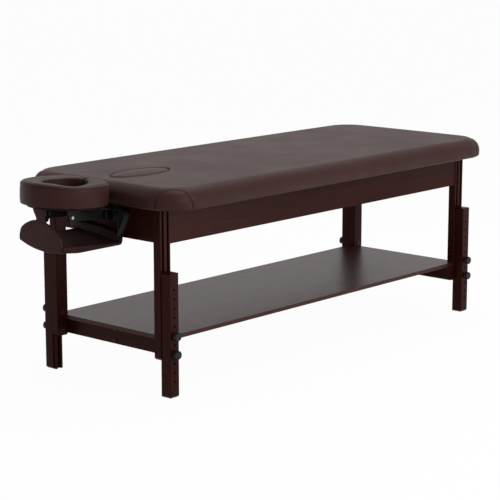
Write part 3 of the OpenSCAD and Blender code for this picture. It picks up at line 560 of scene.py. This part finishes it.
def makeTopPad():
    k = topPad
    stations = padStations()
    profile = padProfile()
    half = k["corner"]
    headRoom, footRoom = k["holeX"] + k["long"] / 2, k["long"] / 2 - k["holeX"]
    holes = []  # the opening's angle that each station is joined to
    for base, normal, along in stations:
        x, y = outward(base, normal, half)
        off = x - k["holeX"]
        squeezed = off if off < 0 else headRoom * (off / footRoom) ** 0.8
        holes.append(math.atan2(y * 0.5, squeezed))

    def between(share, inset, grow, heightOf):
        # a row between the opening's edge, share 0, and the outline, share 1
        row = []
        for (base, normal, along), angle in zip(stations, holes):
            innerX, innerY = ovalPoint(k["holeLong"] + 2 * grow, k["holeWide"] + 2 * grow, angle)
            outerX, outerY = outward(base, normal, half - inset)
            x = k["holeX"] + innerX + (outerX - k["holeX"] - innerX) * share
            y = innerY + (outerY - innerY) * share
            row.append(at(x, y, heightOf(x, y)))
        return row

    rows = [between(step / 5, k["deckIn"], 0.0, lambda x, y: k["deckTop"]) for step in range(6)]
    rows.append([at(*outward(base, normal, half - k["deckIn"]), k["low"]) for base, normal, along in stations])
    for inset, height, slope, rise in profile:
        row = []
        for base, normal, along in stations:
            out = padBulge(height) + patchDepth(along, rise)
            x, y = outward(base, normal, half - inset + out * math.sin(slope))
            row.append(at(x, y, padHeight(x, y, inset, height, slope, out)))
        rows.append(row)
    for step in range(1, k["topRows"]):
        share = (1 - step / k["topRows"]) ** k["topCrowd"]
        rows.append(between(share, k["roll"], k["holeRoll"], lambda x, y: k["edgeTop"] + padCrown(x, y)))
    for step in range(7):
        angle = math.radians(90 * step / 6)
        grow, drop = k["holeRoll"] * (1 - math.sin(angle)), k["holeRoll"] * (1 - math.cos(angle))
        rows.append(between(0.0, k["roll"], grow, lambda x, y: k["edgeTop"] + padCrown(x, y) - drop))
    rows.append(between(0.0, k["roll"], 0.0, lambda x, y: k["holeLow"]))
    piece = makeSkin("topPadCover", rows, wrap=True)
    wear(piece, "vinyl")
    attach(piece, "table")
    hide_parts("top_pad")

    # the thread line of each corner's patch
    for index, (sx, sy) in enumerate(quarters):
        centreX, centreY = sx * (k["long"] / 2 - half), sy * (k["wide"] / 2 - half)
        path = []
        for step in range(k["seamSteps"] + 1):
            turn = math.pi * step / k["seamSteps"]
            along = k["patchHalf"] * math.copysign(abs(math.cos(turn)) ** (2 / k["patchPower"]), math.cos(turn))
            rise = k["patchHigh"] * abs(math.sin(turn)) ** (2 / k["patchPower"])
            angle = math.radians(90 * index + 45) + along / half
            inset, height, slope = profileAt(profile, rise)
            out = padBulge(height) + patchDepth(along, rise) + k["threadOut"]
            reach = half - inset + out * math.sin(slope)
            x, y = centreX + reach * math.cos(angle), centreY + reach * math.sin(angle)
            path.append(at(x, y, padHeight(x, y, inset, height, slope, out)))
        seam = makeSkin("cornerSeam%d" % index, tubeRows(path, k["threadRadius"] * mm), caps=(True, True), crease=80)
        wear(seam, "thread")
        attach(seam, "table")


makeTopPad()
print("top pad done")


facePlug = {
    "x": -702.0,
    "long": 266.0,
    "wide": 126.0,
    "low": 660.6,
    "edgeTop": 728.0,
    "crown": 6.0,
    "roll": 11.0,
    "under": 4.0,
    "belly": 0.8,
    "points": 120,
    "coreShare": 0.55,
}


def pillow(name, outline, core, top, bottom, roll, under, place, steps=14, belly=0.0):
    # a closed pad: rows run from the core line over the top, round the edge and back below
    # outline and core are matching lists of flat points; top and bottom give the height at a point
    def row(share, inset, heightOf):
        # between the core line, share 0, and the outline less an inset, share 1
        points = []
        for (outX, outY), (coreX, coreY) in zip(outline, core):
            length = max(1e-6, math.dist((outX, outY), (coreX, coreY)))
            part = share * max(0.0, 1 - inset / length)
            x, y = coreX + (outX - coreX) * part, coreY + (outY - coreY) * part
            points.append(place(x, y, heightOf(x, y)))
        return points

    rows = [row(step / steps, roll, top) for step in range(steps)]
    for step in range(9):
        angle = math.radians(90 * step / 8)
        inset, drop = roll * (1 - math.sin(angle)) - belly * (1 - math.cos(angle)), roll * (1 - math.cos(angle))
        rows.append(row(1.0, inset, lambda x, y: top(x, y) - drop))
    for step in range(1, 4):
        share = step / 4
        rows.append(row(1.0, -belly, lambda x, y: (top(x, y) - roll) * (1 - share) + (bottom(x, y) + under) * share))
    for step in range(5):
        angle = math.radians(90 * step / 4)
        inset, rise = under * (1 - math.cos(angle)) - belly * math.cos(angle), under * (1 - math.sin(angle))
        rows.append(row(1.0, inset, lambda x, y: bottom(x, y) + rise))
    rows += [row(1 - step / steps, under, bottom) for step in range(1, steps)]
    rows.append([place(x, y, bottom(x, y)) for x, y in core])
    return makeSkin(name, rows, crease=60)


def makePlug():
    k = facePlug
    outline = [ovalPoint(k["long"], k["wide"], 2 * math.pi * i / k["points"]) for i in range(k["points"])]
    reach = (k["long"] - k["wide"]) / 2
    core = [(max(-reach, min(reach, x * k["coreShare"])), 0.0) for x, y in outline]

    def top(x, y):
        return k["edgeTop"] + k["crown"] * max(0.0, 1 - (2 * x / k["long"]) ** 2 - (2 * y / k["wide"]) ** 2)

    piece = pillow(
        "facePlugCover",
        outline,
        core,
        top,
        lambda x, y: k["low"],
        k["roll"],
        k["under"],
        lambda x, y, z: at(k["x"] + x, y, z),
        belly=k["belly"],
    )
    wear(piece, "vinyl")
    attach(piece, "plug")
    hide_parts("face_plug")


makePlug()
print("plug done")


headrest = {
    "x": -1063.0,
    "low": 665.2,
    "thick": 78.0,
    "outer": 150.0,
    "cut": 112.0,
    "cutPower": 12,
    "holeLong": 162.0,
    "holeWide": 134.0,
    "mouth": 16,  # degrees from the middle of the mouth to the lobes' last full section
    "tip": 19.0,
    "tiltX": -1085.0,
    "tiltZ": 624.0,
    "tilt": 3.0,
    "seamDeep": 1.0,
    "seamAt": 0.06,  # share of the height, as is the width
    "seamWide": 0.015,
    "paintedShadeFacesFirst": 3,  # faces of the section that are the hole's wall and get painted shade
    "paintedShadeFacesLast": 19,
    "pipeOuter": (0.983, 0.868),
    "pipeInner": (0.088, 0.938),
    "pipeRadius": 1.6,
    "lobeRise": 2.0,
    "pinch": 5.5,
    "pinchAt": 66,  # degrees from the front
    "pinchWide": 30,
    "slopeSides": 7.0,  # how far the top falls towards the hole
    "slopeFront": 2.0,
    "farShare": 0.15,  # the far side is less pressed in than the near side
    "slopeLobes": 3.0,
    "steps": 112,
    "capSteps": 9,
    "pipeSteps": 150,
    # section from the hole's wall over the top to the outer wall: share of width, share of height
    "section": [
        (0.04, 0.0), (0.0, 0.07), (0.0, 0.35), (0.02, 0.62), (0.05, 0.84), (0.085, 0.935), (0.14, 0.978),
        (0.22, 0.992), (0.38, 1.0), (0.57, 1.0), (0.75, 0.998), (0.87, 0.98), (0.945, 0.935), (0.985, 0.855),
        (1.003, 0.72), (1.01, 0.45), (1.002, 0.2), (0.985, 0.06), (0.95, 0.0), (0.65, 0.0), (0.35, 0.0),
    ],
}


def tilted(point):
    # the headrest's fixed tilt at rest, about its pivot
    k = headrest
    turn = math.radians(k["tilt"])
    x, z = point[0] - k["tiltX"], point[2] - k["tiltZ"]
    return at(
        k["tiltX"] + x * math.cos(turn) + z * math.sin(turn),
        point[1],
        k["tiltZ"] - x * math.sin(turn) + z * math.cos(turn),
    )


def headrestEdges(angle):
    k = headrest
    cosine, sine = math.cos(angle), math.sin(angle)
    inner = k["holeLong"] * k["holeWide"] / 2 / math.hypot(k["holeWide"] * cosine, k["holeLong"] * sine)
    outer = k["outer"]
    if cosine > 0.05:
        power = k["cutPower"]
        outer = (outer**-power + (k["cut"] / cosine) ** -power) ** (-1 / power)
    return inner, outer


def headrestHeight(angle, share, level):
    # the top falls towards the hole, dips at both sides of the front and rises at the lobes
    k = headrest
    toMouth = ease((math.cos(angle) - 0.3) / 0.6)
    worn = k["farShare"] + (1 - k["farShare"]) * ease((0.3 - math.sin(angle)) / 0.6)
    fromFront = abs(math.degrees(angle) - 180)
    pinched = math.exp(-(((fromFront - k["pinchAt"]) / k["pinchWide"]) ** 2)) * worn
    atSides = ease((abs(math.sin(angle)) - 0.35) / 0.5) * worn
    slope = k["slopeFront"] * (1 - atSides) + k["slopeSides"] * atSides
    slope += (k["slopeLobes"] - slope) * toMouth
    dip = k["pinch"] * pinched * ease((share + 0.3) / 0.5) * ease(level * 2 - 1)
    height = level * (k["thick"] + k["lobeRise"] * toMouth - dip)
    return height - slope * ease(1 - share / 0.86) * ease((level - 0.3) / 0.6)


def headrestPoint(angle, share, level):
    k = headrest
    inner, outer = headrestEdges(angle)
    radius = inner + (outer - inner) * share
    x, y = k["x"] + math.cos(angle) * radius, math.sin(angle) * radius
    return tilted((x, y, k["low"] + headrestHeight(angle, share, level)))


def headrestRow(angle, slide=0.0, squeeze=1.0, side=1.0):
    # one section; slide moves it on towards the mouth and squeeze narrows it there
    k = headrest
    inner, outer = headrestEdges(angle)
    direction = Vector((math.cos(angle), math.sin(angle)))
    onward = Vector((direction[1], -direction[0])) * side
    middle = (inner + outer) / 2
    points = []
    for share, level in smoothLoop(k["section"], 4):
        level = min(1.0, max(0.0, level))
        groove = k["seamDeep"] * math.exp(-(((level - k["seamAt"]) / k["seamWide"]) ** 2)) if share > 0.9 else 0.0
        radius = middle + (inner + (outer - inner) * share - groove - middle) * squeeze
        flat = direction * radius + onward * slide
        points.append(tilted((k["x"] + flat[0], flat[1], k["low"] + headrestHeight(angle, share, level))))
    return points


def makeHeadrest():
    k = headrest
    start, end = math.radians(k["mouth"]), math.radians(360 - k["mouth"])
    rows = []
    for step in range(k["capSteps"]):
        turn = math.radians(90 * (1 - step / k["capSteps"]))
        rows.append(headrestRow(start, k["tip"] * math.sin(turn), max(0.001, math.cos(turn)), 1.0))
    for step in range(k["steps"] + 1):
        rows.append(headrestRow(start + (end - start) * step / k["steps"]))
    for step in range(1, k["capSteps"] + 1):
        turn = math.radians(90 * step / k["capSteps"])
        rows.append(headrestRow(end, k["tip"] * math.sin(turn), max(0.001, math.cos(turn)), -1.0))
    piece = makeSkin("headrestCover", rows, caps=(True, True), crease=60)
    wear(piece, "vinyl")
    # the hole's inner wall wears a darker vinyl: painted shade
    piece.data.materials.append(finishes["paintedHoleShade"])
    ring = len(rows[0])
    for face in piece.data.polygons:
        if face.index < ring * (len(rows) - 1) and k["paintedShadeFacesFirst"] <= face.index % ring < k["paintedShadeFacesLast"]:
            face.material_index = 1
    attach(piece, "platform")
    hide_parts("headrest_cushion")

    # piping along the outer and the inner top edge, from lobe to lobe
    for label, (share, level) in {"Outer": k["pipeOuter"], "Inner": k["pipeInner"]}.items():
        steps = k["pipeSteps"]
        path = [headrestPoint(start + (end - start) * step / steps, share, level) for step in range(steps + 1)]
        pipe = makeSkin("headrestPiping" + label, tubeRows(path, k["pipeRadius"] * mm), caps=(True, True), crease=80)
        # the outer piping wears the darker vinyl: a painted shadow line under the top's edge
        wear(pipe, "paintedShadeVinyl" if label == "Outer" else "vinyl")
        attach(pipe, "platform")


makeHeadrest()
print("headrest done")


sling = {
    "front": -1171.7,
    "rear": -890.5,
    "half": 108.0,
    "low": 509.0,
    "floor": 523.0,
    "corner": 14.0,
    "frontCorner": 6.0,
    "outlineStep": 8.0,
    "roll": 5.5,
    "lipFront": 540.0,
    "lipRear": 524.0,
    "farLess": 11.0,  # the far lip is lower
    "lipWide": 13.0,
    "wallTop": 550.0,
    "wallThick": 12.0,
    "noseRise": 8.0,
    "tailRise": 10.0,
    "sideRise": 3.0,
    "sideWide": 16.0,
    "farFade": 100.0,
    "wave": 1.6,  # soft waves of the floor, side to side
    "waveWide": 26.0,
    "waveFade": 30.0,
    "wallSoft": 7.0,
    "hang": 6.5,  # degrees that the sling hangs out of level, far side up
    "hangY": -100.0,
    "hangZ": 512.0,
    "boardIn": 18.0,
    "boardThick": 5.0,
    "boardLow": 515.5,
}


def hung(x, y, z):
    # a point of the level sling, turned to where it hangs
    k = sling
    turn = math.radians(k["hang"])
    side, rise = y - k["hangY"], z - k["hangZ"]
    across = k["hangY"] + side * math.cos(turn) - rise * math.sin(turn)
    return at(x, across, k["hangZ"] + side * math.sin(turn) + rise * math.cos(turn))


def trayShape(x, y):
    # height of the tray's padded inside
    k = sling
    along = (x - k["front"]) / (k["rear"] - k["front"])
    front = k["lipFront"] - k["farLess"] * ease(y / k["farFade"])
    lip = front + (k["lipRear"] - front) * ease(along * 1.15)
    edge = k["half"] - abs(y)
    height = k["floor"] + (lip - k["floor"]) * (1 - ease((edge - k["lipWide"] * 0.45) / k["lipWide"]))
    height += k["wave"] * math.cos(y / k["waveWide"]) * ease(edge / k["waveFade"])
    wall = 1 - ease((k["rear"] - x - k["wallThick"] * 0.75) / k["wallSoft"])
    return height + (k["wallTop"] - height) * wall


def trayUnder(x, y):
    k = sling
    along = (x - k["front"]) / (k["rear"] - k["front"])
    nose = k["noseRise"] * (1 - ease(along / 0.3))
    tail = k["tailRise"] * ease((along - 0.93) / 0.07) ** 2
    side = k["sideRise"] * ease((abs(y) - k["half"] + k["sideWide"]) / k["sideWide"])
    return k["low"] + nose + tail + side


def trayOutline():
    k = sling
    halfLong = (k["rear"] - k["front"]) / 2
    points = []
    for index, (sx, sy) in enumerate(quarters):
        radius = k["corner"] if sx > 0 else k["frontCorner"]
        for step in range(9):
            angle = math.radians(90 * index + 90 * step / 8)
            x, y = sx * (halfLong - radius), sy * (k["half"] - radius)
            points.append((x + radius * math.cos(angle), y + radius * math.sin(angle)))
    dense = []
    for i, point in enumerate(points):
        after = points[(i + 1) % len(points)]
        parts = max(1, int(math.dist(point, after) / k["outlineStep"]))
        for part in range(parts):
            dense.append(tuple(point[axis] + (after[axis] - point[axis]) * part / parts for axis in range(2)))
    return dense


def makeTray():
    k = sling
    middle = (k["front"] + k["rear"]) / 2
    outline = trayOutline()
    reach = (k["rear"] - k["front"]) / 2 - k["half"]
    core = [(max(-reach, min(reach, x)), 0.0) for x, y in outline]
    piece = pillow(
        "slingTrayCover",
        outline,
        core,
        lambda x, y: trayShape(middle + x, y),
        lambda x, y: trayUnder(middle + x, y),
        k["roll"],
        k["roll"],
        lambda x, y, z: hung(middle + x, y, z),
        steps=36,
    )
    # the tray's cover wears the darker vinyl: painted shade
    wear(piece, "paintedShadeVinyl")
    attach(piece, "tray")
    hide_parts("sling_tray")

    # the stiffening board inside, hung like its cover
    halfLong, half, thick = (k["rear"] - k["front"]) / 2 - k["boardIn"], k["half"] - k["boardIn"], k["boardThick"]
    rows = []
    for inset, height in ((1.0, 0.0), (0.0, 1.0), (0.0, thick - 1.0), (1.0, thick)):
        row = []
        for sx, sy in quarters:
            x, y = middle + sx * halfLong - sx * inset, sy * half - sy * inset
            row.append(hung(x, y, k["boardLow"] + height))
        rows.append(row)
    board = makeSkin("slingStiffener", rows, caps=(True, True), crease=30)
    wear(board, "plywood")
    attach(board, "tray")
    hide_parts("sling_board")


makeTray()

bell = {
    # half outline: sideways, height
    "half": [
        (0.0, 507.5), (30.0, 508.6), (62.0, 512.6), (88.0, 518.0), (99.0, 521.2), (102.5, 524.0), (104.0, 533.0),
        (103.6, 546.0), (100.0, 559.5), (92.5, 571.0), (81.0, 581.0), (66.0, 591.0), (50.0, 599.5), (36.0, 604.0),
        (20.0, 606.5), (0.0, 607.0),
    ],
    "middle": 560.0,
    "coreShare": 0.45,
    "fadeWide": 104.0,
    "fadeHigh": 55.0,
    "front": 4.5,
    "full": 4.0,
    "hollow": 1.2,
    "hollowWide": 20.0,
    "back": -3.15,
    "roll": 4.0,
    "under": 2.5,
    "forward": 2.6,  # from the tray's front edge
}


def makeBell():
    # the sling's front panel
    k = bell
    keys = k["half"] + [(-side, height) for side, height in reversed(k["half"][1:-1])]
    outline = [(point[0], point[1]) for point in smoothLoop(keys, 4)]
    core = [(0.0, k["middle"] + (height - k["middle"]) * k["coreShare"]) for side, height in outline]

    def swell(side, height):
        # soft fullness with a shallow hollow down the middle
        x, z = side / k["fadeWide"], (height - k["middle"]) / k["fadeHigh"]
        full = k["full"] * max(0.0, 1 - x * x - z * z * 0.7)
        return k["front"] + full - k["hollow"] * math.exp(-((side / k["hollowWide"]) ** 2)) * max(0.0, 1 - z * z)

    piece = pillow(
        "slingFrontPanel",
        outline,
        core,
        swell,
        lambda x, y: k["back"],
        k["roll"],
        k["under"],
        lambda side, height, out: hung(sling["front"] - k["forward"] - out, side, height),
        steps=16,
    )
    wear(piece, "slingVinyl")
    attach(piece, "tray")
    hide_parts("sling_front")


makeBell()


neck = {
    "low": 598.0,
    "high": 663.5,
    "steps": 26,
    "lowY": -10.5,
    "shift": 13.0,  # sideways, on the way up
    "half": 22.5,  # half width where it is narrowest
    "boardMore": 7.0,
    "flare": 11.0,
    "forward": 3.4,  # from the tray's front edge
    "bow": 0.8,
    "over": 4.6,  # further forward over the front panel
    "bend": 5.0,  # over the board's front edge
    "bendRise": 1.8,
    "backStep": 7.0,
    "backDrop": 0.35,
    "skins": ((-1, 1.7, 0.3), (1, 0.9, 0.2)),  # side, extra thickness in the middle, thickness at the edges
    "across": 12,
}


def makeNeck():
    # the strip from the front panel up to the headrest's board
    k = neck
    path = []
    for step in range(k["steps"] + 1):
        share = step / k["steps"]
        z = k["low"] + (k["high"] - k["low"]) * share
        centre = k["lowY"] + k["shift"] * ease((z - 612) / 50)
        halfWide = k["half"] + k["boardMore"] * ease((z - 622) / 42) + k["flare"] * ease((626 - z) / 16)
        over = ease((624 - z) / 16) * ease((z - 597) / 6)
        x = sling["front"] - k["forward"] - k["bow"] * math.sin(math.pi * share) - k["over"] * over
        path.append((x, centre, halfWide, z, (1.0, 0.0)))

    # over the front edge of the board and back under the cushion
    centre, halfWide = k["lowY"] + k["shift"], k["half"] + k["boardMore"]
    for step in range(1, 9):
        turn = math.radians(90 * step / 8)
        x = sling["front"] - k["forward"] + k["bend"] * (1 - math.cos(turn))
        z = k["high"] + k["bendRise"] * math.sin(turn)
        path.append((x, centre, halfWide, z, (math.cos(turn), -math.sin(turn))))
    for step in range(1, 5):
        x = sling["front"] - k["forward"] + k["bend"] + k["backStep"] * step
        path.append((x, centre, halfWide, k["high"] + k["bendRise"] - step * k["backDrop"], (0.0, -1.0)))
    rows = []
    for x, centre, halfWide, z, normal in path:
        row = []
        for way, full, least in k["skins"]:
            for step in range(k["across"] + 1):
                across = -way * (2 * step / k["across"] - 1)
                thick = full * (1 - abs(across) ** 6) + least
                row.append(at(x + way * normal[0] * thick, centre + halfWide * across, z - way * normal[1] * thick))
        rows.append(row)
    piece = makeSkin("slingNeckStrip", rows, caps=(True, True), crease=55)
    wear(piece, "slingVinyl")
    at(-1172, 0, 618)
    at(-1172, 0, 655)
    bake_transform(piece)


makeNeck()

strap = {
    "rear": -890.0,
    "wide": 25.0,
    "thick": 1.7,
    "postY": 120.0,
    "postZ": 612.0,
    "postRadius": 13.4,
    "lowY": 98.0,
    "lowZ": 548.0,
    "tail": 4.0,
}


def makeStrap(side):
    k = strap
    low = hung(0, side * k["lowY"], k["lowZ"])
    lowFlat = Vector((low[1] / mm, low[2] / mm))
    post = Vector((side * k["postY"], k["postZ"]))
    aim = lowFlat - post
    base = math.atan2(aim[1], aim[0])
    opening = math.acos(k["postRadius"] / aim.length)

    def around(angle):
        return post + Vector((math.cos(angle), math.sin(angle))) * k["postRadius"]

    # up from the tray, round the post and down again
    first, last = around(base + opening), around(base - opening)
    path = [lowFlat + Vector((0.0, -k["tail"]))]
    path += [lowFlat + (first - lowFlat) * step / 7 for step in range(7)]
    path += [around(base + opening + (2 * math.pi - 2 * opening) * step / 28) for step in range(29)]
    path += [last + (lowFlat - last) * step / 7 for step in range(1, 8)]
    face = [(0, 0.5), (0.04, 1), (0.3, 1), (0.5, 1), (0.7, 1), (0.96, 1), (1, 0.5)]
    section = face + [(x, -thick) for x, thick in reversed(face)]
    half = k["thick"] / 2
    rows = []
    for i, point in enumerate(path):
        along = (path[min(len(path) - 1, i + 1)] - path[max(0, i - 1)]).normalized()
        out = Vector((-along[1], along[0]))
        rows.append([at(k["rear"] - k["wide"] * x, *(point + out * half * thick)) for x, thick in section])
    piece = makeSkin("slingStrap" + ("Near" if side < 0 else "Far"), rows, caps=(True, True), crease=60)
    wear(piece, "webbing")
    if side < 0:
        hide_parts("sling_straps")
    at(-900, 0, 596)
    at(-900, 0, 556)
    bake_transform(piece)


makeStrap(-1)
makeStrap(1)
print("sling done")


# floor, backdrop and light

studio = {
    "floor": (0.86, 0.86, 0.86, 1.0),
    "whiteShare": 0.96,
    "floorSize": 60.0,
    "air": 0.52,
    "airTone": (0.8, 0.8, 0.8, 1.0),
    "mirroredAir": 0.8,
    "lamps": [
        # place, aim, size, watts
        ((-0.4, -4.2, 2.2), (-0.2, 0.0, 0.5), (2.6, 1.8), 95.0),
        ((0.8, -0.2, 4.2), (0.5, 0.0, 0.6), (3.6, 2.6), 75.0),
        ((1.3, -2.45, 0.04), (1.3, -2.45, 2.0), (0.8, 1.2), 28.0),
    ],
}


def makeStage():
    mesh = bpy.data.meshes.new("studioFloor")
    half = studio["floorSize"] / 2
    mesh.from_pydata([(-half, -half, 0), (half, -half, 0), (half, half, 0), (-half, half, 0)], [], [(0, 1, 2, 3)])
    floor = bpy.data.objects.new("studioFloor", mesh)
    scene.collection.objects.link(floor)
    finish = Finish("studioFloor")
    spot = finish.place()
    grain = finish.cloud(spot, 30.0, 2.0)
    paint = finish.add(
        "ShaderNodeBsdfPrincipled",
        None,
        {"Base Color": studio["floor"], "Roughness": grain * 0.1 + 0.75, "Specular IOR Level": 0.1},
    )
    # the camera and mirrors see the floor white, with the object's shadow kept
    glow = finish.add("ShaderNodeEmission", None, {"Color": (1.0, 1.0, 1.0, 1.0), "Strength": 1.0})
    cameraRay, glossyRay, clearRay = (finish.add("ShaderNodeLightPath", out=out) for out in (0, 3, 6))
    seen = cameraRay.combine("MAXIMUM", cameraRay, glossyRay)
    seen = seen.combine("MAXIMUM", seen, clearRay)
    mixed = finish.add("ShaderNodeMixShader", None, {0: seen * studio["whiteShare"]})
    finish.tree.links.new(paint.socket, mixed.socket.node.inputs[1])
    finish.tree.links.new(glow.socket, mixed.socket.node.inputs[2])
    finish.tree.links.new(mixed.socket, finish.output.inputs["Surface"])
    mesh.materials.append(finish.material)

    world = bpy.data.worlds.new("studioAir")
    scene.world = world
    world.use_nodes = True
    tree = world.node_tree
    tree.nodes.clear()
    path = tree.nodes.new("ShaderNodeLightPath")
    sky = tree.nodes.new("ShaderNodeBackground")
    sky.inputs["Color"].default_value = studio["airTone"]
    sky.inputs["Strength"].default_value = studio["air"]
    shown = sky.outputs[0]
    # what mirrors see of the air, then what clear pieces and the camera see
    seenAs = {"Is Glossy Ray": studio["mirroredAir"], "Is Transmission Ray": 1.0, "Is Camera Ray": 1.0}
    for rays, strength in seenAs.items():
        plain = tree.nodes.new("ShaderNodeBackground")
        plain.inputs["Color"].default_value = (1.0, 1.0, 1.0, 1.0)
        plain.inputs["Strength"].default_value = strength
        pick = tree.nodes.new("ShaderNodeMixShader")
        tree.links.new(path.outputs[rays], pick.inputs[0])
        tree.links.new(shown, pick.inputs[1])
        tree.links.new(plain.outputs[0], pick.inputs[2])
        shown = pick.outputs[0]
    horizon = tree.nodes.new("ShaderNodeOutputWorld")
    tree.links.new(shown, horizon.inputs[0])

    for index, (spotPlace, aimAt, size, watts) in enumerate(studio["lamps"]):
        data = bpy.data.lights.new("softLamp%d" % index, "AREA")
        data.shape = "RECTANGLE"
        data.size, data.size_y = size
        data.energy = watts
        lamp = bpy.data.objects.new(data.name, data)
        scene.collection.objects.link(lamp)
        lamp.location = spotPlace
        lamp.visible_camera = False
        lamp.rotation_euler = (Vector(aimAt) - Vector(spotPlace)).to_track_quat("-Z", "Y").to_euler()


makeStage()
print("studio done")
scene.view_settings.view_transform = "Standard"
